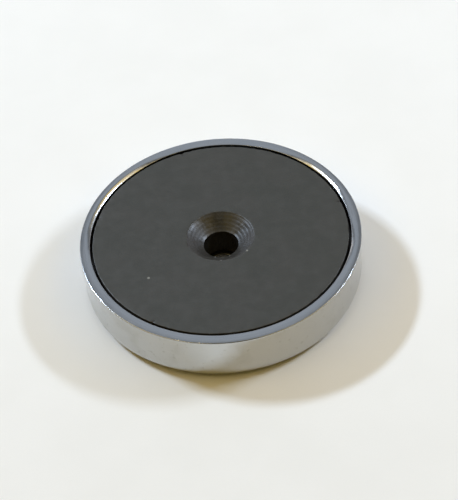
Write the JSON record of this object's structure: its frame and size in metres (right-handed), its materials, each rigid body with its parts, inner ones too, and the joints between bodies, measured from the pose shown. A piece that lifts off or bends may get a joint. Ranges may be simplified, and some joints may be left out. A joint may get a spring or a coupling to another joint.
{
  "type": "pot magnet",
  "caption": "Round ferrite pot magnet: plated steel cup, countersunk ring magnet bonded inside it and a screw hole through the centre.",
  "frame": {"origin": "centre of the flat underside of the steel cup, on the screw hole's axis", "axes": "+Z along the axis of the magnet, out of the holding face; X and Y lie in the underside"},
  "size_m": [0.067, 0.067, 0.013],
  "materials": {
    "bright_plating": "polished",
    "sintered_ferrite": "satin",
    "cured_epoxy": "gloss"
  },
  "bodies": {
    "root": {"steel_cup": "bright_plating", "ferrite_ring_magnet": "sintered_ferrite", "epoxy_bond": "cured_epoxy"}
  },
  "joints": []
}
